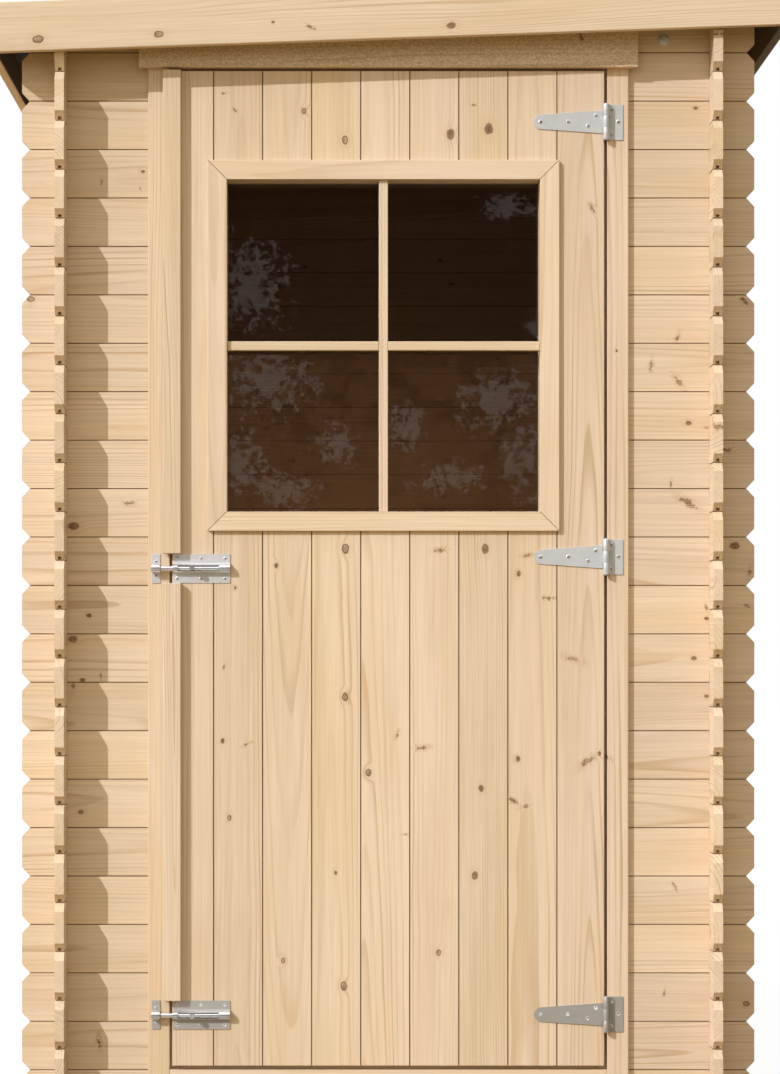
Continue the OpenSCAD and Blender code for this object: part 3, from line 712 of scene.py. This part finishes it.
zincGroup = makeZincGroup()
steelPieces = {
    "galvanised": {"tint": (0.635, 0.665, 0.715, 1), "mottle": 0.04, "dull": 0.38, "metal": 0.25,
                   "groundShadeTint": (0.64, 0.59, 0.53, 1),
                   "nodes": [kind + end for kind in ("hinge_strap_", "hinge_leaf_")
                             for end in ("top", "middle", "bottom")]},
    "zincPlate": {"tint": (0.74, 0.75, 0.80, 1), "mottle": 0.01, "dull": 0.27, "metal": 0.28,
                  "groundShadeTint": (0.68, 0.64, 0.59, 1), "barrels": True,
                  "nodes": [end + part for end in ("upper_bolt_", "lower_bolt_") for part in ("case", "keeper")]},
    "screwHead": {"tint": (0.88, 0.89, 0.92, 1), "mottle": 0.01, "dull": 0.20, "metal": 0.40, "nodes": []},
    "brightRod": {"tint": (0.93, 0.94, 0.97, 1), "mottle": 0.01, "dull": 0.10, "metal": 0.85,
                  "nodes": ["upper_bolt_rod", "lower_bolt_rod"]},
}
# both barrels lie this far off their common middle; radii where the polish and the bore's painted shade begin
boltBarrels = {"middle": 0.567, "off": 0.386, "y": -1.175, "polish": (8.2 * mm, 7.2 * mm), "bore": (5.6 * mm, 5.2 * mm),
               "tint": (0.88, 0.88, 0.90, 1), "paintedBoreShade": (0.045, 0.038, 0.034, 1), "dull": -0.14, "metal": 0.60}
groundShade = {"from": 0.90, "full": 0.20}  # painted shade: fittings are painted darker towards the ground


def steelMaterial(name, look):
    material, shader, axes = newMaterial(name)
    coat = placeGroup(zincGroup, X=axes["X"], Y=axes["Y"], Z=axes["Z"], Mottle=look["mottle"])
    colour = shaded(look["tint"], coat["Shade"])
    dull, metal = plus(coat["Roughness"], look["dull"]), look["metal"]
    # painted shade: darker towards the ground
    if "groundShadeTint" in look:
        colour = tint(ease(axes["Z"], groundShade["from"], groundShade["full"]), colour, look["groundShadeTint"], "MULTIPLY")
    if "barrels" in look:
        barrel = boltBarrels
        height = minus(unsigned(minus(axes["Z"], barrel["middle"])), barrel["off"])
        reach = farOf(height, minus(axes["Y"], barrel["y"]))
        polished = ease(reach, *barrel["polish"])
        colour = tint(polished, colour, barrel["tint"])
        # painted shade inside the bore, round the rod
        colour = tint(ease(reach, *barrel["bore"]), colour, barrel["paintedBoreShade"])
        dull = timesPlus(polished, barrel["dull"], dull)
        metal = timesPlus(polished, barrel["metal"], metal)
    feed(shader.inputs["Base Color"], colour)
    feed(shader.inputs["Roughness"], dull)
    feed(shader.inputs["Metallic"], metal)
    bumpFrom(shader, coat["Height"], 0.04, 0.00005)
    return material


steel = {}
for name, look in steelPieces.items():
    steel[name] = steelMaterial(name, look)
    for node in look["nodes"]:
        dress(node, steel[name])

paneLook = {"tint": (0.88, 0.90, 0.88, 1), "bend": 1.45, "smear": 0.012}


def glassMaterial():
    material, shader, axes = newMaterial("windowPane")
    shader.inputs["Base Color"].default_value = paneLook["tint"]
    shader.inputs["Transmission Weight"].default_value = 1.0
    shader.inputs["IOR"].default_value = paneLook["bend"]
    smear = cloud(axes["place"], 7.0, 3.0)
    feed(shader.inputs["Roughness"], times(ease(smear, 0.55, 0.90), paneLook["smear"]))
    return material


dress("window_glass", glassMaterial())

feltLook = {"grit": 620.0, "dark": (0.030, 0.032, 0.033, 1), "light": (0.115, 0.120, 0.118, 1),
            "worn": (0.150, 0.155, 0.150, 1), "wornShare": 0.35}


def feltMaterial():
    material, shader, axes = newMaterial("mineralFelt")
    grit = newNode("TexVoronoi")
    grit.inputs["Scale"].default_value = feltLook["grit"]
    feed(grit.inputs["Vector"], axes["place"])
    parts = newNode("SeparateColor")
    feed(parts.inputs[0], grit.outputs["Color"])
    worn = cloud(axes["place"], 5.0, 4.0)
    colour = tint(parts.outputs[0], feltLook["dark"], feltLook["light"])
    worn = times(ease(worn, 0.40, 0.75), feltLook["wornShare"])
    colour = tint(worn, colour, feltLook["worn"])
    feed(shader.inputs["Base Color"], colour)
    feed(shader.inputs["Roughness"], timesPlus(parts.outputs[1], 0.15, 0.80))
    bumpFrom(shader, rest(grit.outputs["Distance"]), 0.55, 0.0008)
    return material


felt = feltMaterial()
print("metal, glass and felt made")

# softened edges on the planed timber and the metal
softEdges = {
    1.6: ("frame_post_left", "frame_post_right", "door_sill", "fascia_front", "fascia_back", "fascia_left",
          "fascia_right", "lintel_board"),
    1.2: ("cover_strip_upper", "cover_strip_lower", "window_trim", "window_bars", "window_beads", "door_ledges"),
    0.4: tuple(node for look in steelPieces.values() for node in look["nodes"]),
}


def softenEdges(name, wide):
    weld = nodes[name].modifiers.new("joinFaces", "WELD")
    weld.merge_threshold = 0.00002
    bevel = nodes[name].modifiers.new("softEdge", "BEVEL")
    bevel.width = wide * mm
    bevel.segments = 2
    bevel.limit_method = "ANGLE"
    bevel.angle_limit = math.radians(50)
    bevel.use_clamp_overlap = True


for wide, names in softEdges.items():
    for name in names:
        softenEdges(name, wide)
print("edges softened")


# new pieces
def makePiece(name, bm, material, body, smooth=None):
    mesh = bpy.data.meshes.new(name)
    bmesh.ops.recalc_face_normals(bm, faces=bm.faces)
    bm.to_mesh(mesh)
    bm.free()
    if smooth is not None:
        mesh.polygons.foreach_set("use_smooth", [True] * len(mesh.polygons))
        mesh.set_sharp_from_angle(angle=math.radians(smooth))
    mesh.materials.append(material)
    piece = newObject(name, mesh)
    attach(piece, body)
    return piece


def vertsOf(geom):
    return [g for g in geom if isinstance(g, bmesh.types.BMVert)]


screwShape = {"rise": 0.20, "dome": 2.6, "recess": -0.06, "narrow": 0.85, "under": -0.06}  # in head widths
screwTurn = 1.1  # from one screw to the next, so that their crosses differ


def addScrew(bm, place, wide, turn=0.0, away=-1.0):  # pan head with a cross recess, facing -Y, or +Y where away is 1
    verts = bmesh.ops.create_grid(bm, x_segments=5, y_segments=5, size=0.5)["verts"]
    for vert in verts:
        if max(abs(vert.co.x), abs(vert.co.y)) > 0.45:  # the grid's border becomes round
            vert.co *= 0.5 / vert.co.length
    rim = [edge for edge in {e for v in verts for e in v.link_edges} if edge.is_boundary]
    for vert in verts:
        vert.co.z = screwShape["rise"] * (1.0 - screwShape["dome"] * vert.co.length_squared)
    cross = []
    for face in {f for v in verts for f in v.link_faces}:
        near, far = sorted((abs(face.calc_center_median().x), abs(face.calc_center_median().y)))
        if near < 0.05 and far < 0.25:
            cross.append(face)
    sunk = vertsOf(bmesh.ops.extrude_face_region(bm, geom=cross)["geom"])
    bmesh.ops.translate(bm, verts=sunk, vec=(0, 0, screwShape["recess"]))
    bmesh.ops.scale(bm, verts=sunk, vec=(screwShape["narrow"], screwShape["narrow"], 1.0))
    skirt = bmesh.ops.extrude_edge_only(bm, edges=rim)["geom"]
    for vert in vertsOf(skirt):
        vert.co.z = screwShape["under"]
    openEdges = [g for g in skirt if isinstance(g, bmesh.types.BMEdge) and g.is_boundary]
    bmesh.ops.holes_fill(bm, edges=openEdges, sides=0)
    whole = list({v for v in verts if v.is_valid} | set(sunk) | set(vertsOf(skirt)))
    lay = Matrix.Translation(place) @ Matrix.Rotation(math.radians(-90 * away), 4, "X")
    bmesh.ops.transform(bm, matrix=lay @ Matrix.Rotation(turn, 4, "Z") @ Matrix.Scale(wide, 4), verts=whole)


# screws of the hinges and bolts in mm, each z from its fitting's own height
fittingHeights = (1725, 973, 182)  # the three hinges, and the ledges behind them
hingeScrews = {"wide": 6.8, "leafX": (386.6, 398.0, 385.4), "leafZ": (21.6, 0.7, -21.3), "leafY": -1165.0,
               "strapX": (263.0, 311.0, 345.0, 358.5), "strapZ": (0.0, 0.5, -6.9, 11.2), "strapY": -1170.0}
boltScrews = {"heights": (953, 181), "wide": 5.8, "plateX": (-365.0, -324.0, -282.5), "plateZ": (17.5, -17.5),
              "plateY": -1169.6, "keeperX": -402.0, "keeperZ": (12.0, -12.0), "keeperY": -1164.6}


def makeScrews():
    hinge, bolt = hingeScrews, boltScrews
    order = []
    for height in fittingHeights:
        order += [("strap", (x, hinge["strapY"], height + z)) for x, z in zip(hinge["strapX"], hinge["strapZ"])]
        order += [("leaf", (x, hinge["leafY"], height + z)) for x, z in zip(hinge["leafX"], hinge["leafZ"])]
    for height in bolt["heights"]:
        order += [("plate", (x, bolt["plateY"], height + z)) for x in bolt["plateX"] for z in bolt["plateZ"]]
        order += [("keeper", (bolt["keeperX"], bolt["keeperY"], height + z)) for z in bolt["keeperZ"]]
    pieces = {"strap": ("strap_screws", "door", "galvanised_steel"),
              "leaf": ("leaf_screws", "shed", "galvanised_steel"),
              "plate": ("bolt_plate_screws", "door", "zinc_steel"), "keeper": ("keeper_screws", "shed", "zinc_steel")}
    meshes = {label: bmesh.new() for label in pieces}
    turn = 0.0
    for label, place in order:
        turn += screwTurn
        wide = (hinge if label in ("strap", "leaf") else bolt)["wide"]
        addScrew(meshes[label], Vector(place) * mm, wide * mm, turn)
    for label, (name, body, slot) in pieces.items():
        makePiece(name, meshes[label], steel["screwHead"], body, 35)


makeScrews()

# screws through the door's ledges into its boards, seen from inside
ledgeScrews = {"first": -344.5, "most": 332.0, "count": 9, "off": 18.0, "stagger": 3, "y": -1134.0, "wide": 7.6}


def makeLedgeScrews():
    bm = bmesh.new()
    most = ledgeScrews["most"]
    for height in fittingHeights:
        for index in range(ledgeScrews["count"]):
            x = min(max(ledgeScrews["first"] + index * doorPitch / mm, -most), most)
            for side in (-1, 1):
                z = height + side * (ledgeScrews["off"] + (index % 2) * ledgeScrews["stagger"])
                addScrew(bm, Vector((x, ledgeScrews["y"], z)) * mm, ledgeScrews["wide"] * mm, index + side, 1.0)
    makePiece("ledge_screws", bm, steel["screwHead"], "door", 35)


makeLedgeScrews()

# bolts that tie the top planks: domed heads outside, washers and nuts inside
coachBolts = {"places": ((478, -1, 1870), (-478, -1, 1866), (478, 1, 1870), (-478, 1, 1866)),
              "face": 1153.0, "inner": 1137.0, "wide": 20.0, "rise": 5.0, "arc": (0.4, 0.8, 1.2, 1.5708), "sunk": 0.3,
              "chamfer": 0.6, "washer": (22.0, 1.6), "nut": (15.0, 6.5), "end": (8.0, 11.0)}


def addTurned(bm, centre, profile, steps):  # radius and height pairs, turned about Y
    x, y, z = centre
    verts = [bm.verts.new(((x + r) * mm, (y + d) * mm, z * mm)) for r, d in profile]
    edges = [bm.edges.new(pair) for pair in zip(verts, verts[1:])]
    bmesh.ops.spin(bm, geom=verts + edges, cent=Vector(centre) * mm, axis=(0, 1, 0), angle=math.tau, steps=steps,
                   use_merge=True)


def makeCoachBolts():
    heads, nuts = bmesh.new(), bmesh.new()
    for x, side, z in coachBolts["places"]:
        half, rise, sunk = coachBolts["wide"] / 2, coachBolts["rise"] * side, coachBolts["sunk"] * side
        dome = [(half * math.sin(a), rise * (0.25 + 0.75 * math.cos(a))) for a in coachBolts["arc"]]
        dome = [(0.0, rise)] + dome + [(half, -sunk), (0.0, -sunk)]
        addTurned(heads, (x, coachBolts["face"] * side, z), dome, 28)
        for label, steps in (("washer", 24), ("nut", 6), ("end", 16)):
            wide, thick = coachBolts[label]
            top, chamfer = -thick * side, coachBolts["chamfer"]
            shape = [(0.0, sunk), (wide / 2, sunk), (wide / 2, top + chamfer * side), (wide / 2 - chamfer, top),
                     (0.0, top)]
            addTurned(nuts, (x, coachBolts["inner"] * side, z), shape, steps)
    for name, bm in (("coach_bolt_heads", heads), ("coach_bolt_nuts", nuts)):
        bmesh.ops.remove_doubles(bm, verts=bm.verts, dist=0.00001)
        makePiece(name, bm, steel["galvanised"], "shed", 32)


makeCoachBolts()

# riveted ends of the hinge pins
pinEnds = {"x": 376.0, "y": -1173.0, "half": 30.5, "radius": 3.2, "rise": 1.7}


def makePinEnds():
    bm = bmesh.new()
    for height in fittingHeights:
        for side in (-1, 1):
            verts = bmesh.ops.create_uvsphere(bm, u_segments=18, v_segments=10, radius=1.0)["verts"]
            middle = Vector((pinEnds["x"], pinEnds["y"], height + side * pinEnds["half"]))
            size = Vector((pinEnds["radius"], pinEnds["radius"], pinEnds["rise"]))
            for vert in verts:
                vert.co = (middle + vert.co * size) * mm
    makePiece("hinge_pin_ends", bm, steel["galvanised"], "shed", 60)


makePinEnds()
print("screws, bolts and pins fitted")

# tongued boards of the roof and floor
boardJoint = {"tongue": 6.0, "half": 2.6, "play": 0.3, "gap": 0.8}
roofBoards = {"x": (-671.0, 671.0), "y": (-1217.0, 1217.0), "z": 0.0, "thick": 19.0, "count": 28, "chamfer": 1.6,
              "family": 30}
floorBoards = {"x": (-556.7, 556.7), "y": (-1126.7, 1136.7), "z": 45.0, "thick": 18.0, "count": 26, "chamfer": 1.2,
               "family": 31}
roofUnder = {"x": -565.0, "z": 1890.0}  # underside of the roof over the left wall, from where it rises


def addBoard(bm, lay, y0, y1, last):
    z0, z1, c, t = lay["z"], lay["z"] + lay["thick"], lay["chamfer"], boardJoint["tongue"]
    half, play = boardJoint["half"], boardJoint["play"]
    low, high = z0 + lay["thick"] / 2 - half, z0 + lay["thick"] / 2 + half
    outline = [(y0, z0 + c), (y0 + c, z0), (y1 - c, z0), (y1, z0 + c)]
    if not last:
        outline += [(y1, low), (y1 + t, low), (y1 + t, high), (y1, high)]
    outline += [(y1, z1 - c), (y1 - c, z1), (y0 + c, z1), (y0, z1 - c)]
    deep = y0 + t + 2 * play
    outline += [(y0, high + play), (deep, high + play), (deep, low - play), (y0, low - play)]
    face = bm.faces.new([bm.verts.new((lay["x"][0] * mm, y * mm, z * mm)) for y, z in outline])
    far = vertsOf(bmesh.ops.extrude_face_region(bm, geom=[face])["geom"])
    bmesh.ops.translate(bm, verts=far, vec=((lay["x"][1] - lay["x"][0]) * mm, 0, 0))


tarLook = {"indoors": 0.35, "least": 0.93, "more": 0.05, "wallX": (0.560, 0.572), "wallY": (1.145, 1.157)}


def tarredMaterial(start, pitch):  # almost black under the eaves, brown indoors
    material, shader, axes = newMaterial("tarredBoards")
    space = placeGroup(boardGroup, Across=axes["Y"], Start=start, Pitch=pitch, Family=float(roofBoards["family"]))
    wood = placeGroup(spruceGroup, Along=axes["X"], Across=space["Across"], Depth=0.0, Seed=space["Seed"],
                      Knot=noKnot, Kind=0.5, Tone=0.0)
    tar = cloud(axes["place"], 40.0, 4.0)
    beside = ease(unsigned(axes["X"]), *tarLook["wallX"])
    before = ease(unsigned(axes["Y"]), *tarLook["wallY"])
    dark = spread(ease(tar, 0.3, 0.7), tarLook["least"], tarLook["more"])
    share = choose(calc("MAXIMUM", beside, before), tarLook["indoors"], dark)
    colour = tint(share, wood["Color"], spruceTone["tar"])
    shader.inputs["Specular IOR Level"].default_value = 0.12
    feed(shader.inputs["Base Color"], colour)
    feed(shader.inputs["Roughness"], timesPlus(tar, 0.3, 0.45))
    bumpFrom(shader, wood["Height"], 0.4, 0.0005)
    return material


def makeBoards(name, lay, node, sloped):
    bm = bmesh.new()
    start, pitch = lay["y"][0], (lay["y"][1] - lay["y"][0]) / lay["count"]
    for index in range(lay["count"]):
        y0 = start + index * pitch
        last = index == lay["count"] - 1
        addBoard(bm, lay, y0, y0 + pitch - (0.0 if last else boardJoint["gap"]), last)
    if sloped:
        for vert in bm.verts:
            vert.co.z += roofUnder["z"] * mm + (vert.co.x - roofUnder["x"] * mm) * fall
        wood = tarredMaterial(start * mm, pitch * mm)
    else:
        wood = boardMaterial("spruce_" + name, {
            "along": "X", "across": "Y", "depth": "Z", "start": start * mm, "pitch": pitch * mm,
            "family": lay["family"], "middle": (lay["z"] + lay["thick"] / 2) * mm})
    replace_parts(makePiece(name, bm, wood, "shed"), node)


makeBoards("roof_boards", roofBoards, "roof_deck", True)
makeBoards("floor_boards", floorBoards, "floor_panel", False)
print("boards laid")

# roofing felt in three lapped strips, with clout nails along the laps
feltStrips = {"edges": (-687.0, -215.0, 258.0, 670.7), "lap": 70.0, "y": 1217.0, "over": 19.4, "thick": 2.2,
              "rise": 2.5, "wave": 0.25, "nails": 24, "nailIn": 22.0, "nailY": 1180.0, "nailUp": 0.4}
nailHead = {"radius1": 5.0 * mm, "radius2": 4.2 * mm, "depth": 1.6 * mm}


def feltHeight(x, lapped, start):
    high = roofUnder["z"] + (x - roofUnder["x"]) * fall + feltStrips["over"]
    if lapped:
        step = min(max((x - start) / (feltStrips["lap"] * 1.5), 0.0), 1.0)
        high += feltStrips["rise"] * (1.0 - step * step * (3 - 2 * step))
    return high


def makeFelt():
    bm, nails = bmesh.new(), bmesh.new()
    edges = feltStrips["edges"]
    for index in range(3):
        start = edges[index] - (feltStrips["lap"] if index else 0.0)
        end = edges[index + 1]
        verts = bmesh.ops.create_grid(bm, x_segments=24, y_segments=48, size=0.5)["verts"]
        for vert in verts:
            x = start + (vert.co.x + 0.5) * (end - start)
            y = vert.co.y * 2 * feltStrips["y"]
            wave = feltStrips["wave"] * (1 + math.sin(x * 0.031 + y * 0.011) * math.sin(y * 0.023 - x * 0.007))
            vert.co = Vector((x, y, feltHeight(x, index > 0, start) + wave)) * mm
        shell = list({f for v in verts for f in v.link_faces})
        bmesh.ops.recalc_face_normals(bm, faces=shell)
        bmesh.ops.solidify(bm, geom=shell + verts, thickness=-feltStrips["thick"] * mm)
        if index:
            x, most = start + feltStrips["nailIn"], feltStrips["nailY"]
            z = feltHeight(x, True, start) + feltStrips["thick"] + feltStrips["nailUp"]
            for step in range(feltStrips["nails"]):
                addNail(nails, x, -most + step * 2 * most / (feltStrips["nails"] - 1), z)
    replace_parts(makePiece("felt_strips", bm, felt, "shed", 50), "roof_felt")
    makePiece("clout_nails", nails, steel["galvanised"], "shed", 40)


def addNail(bm, x, y, z):
    verts = bmesh.ops.create_cone(bm, cap_ends=True, segments=12, **nailHead)["verts"]
    bmesh.ops.translate(bm, verts=verts, vec=(x * mm, y * mm, z * mm))


makeFelt()

# two nails a board where the floor crosses its joists
floorNails = {"joists": (-511.7, 0.0, 511.7), "aside": 3.0, "off": 24.0, "z": 63.0}


def makeFloorNails():
    bm = bmesh.new()
    pitch = (floorBoards["y"][1] - floorBoards["y"][0]) / floorBoards["count"]
    for index in range(floorBoards["count"]):
        middle = floorBoards["y"][0] + (index + 0.5) * pitch
        for x in floorNails["joists"]:
            for side in (-1, 1):
                addNail(bm, x + side * floorNails["aside"], middle + side * floorNails["off"], floorNails["z"])
    makePiece("floor_nails", bm, steel["galvanised"], "shed", 40)


makeFloorNails()
print("felt laid, floor nailed")
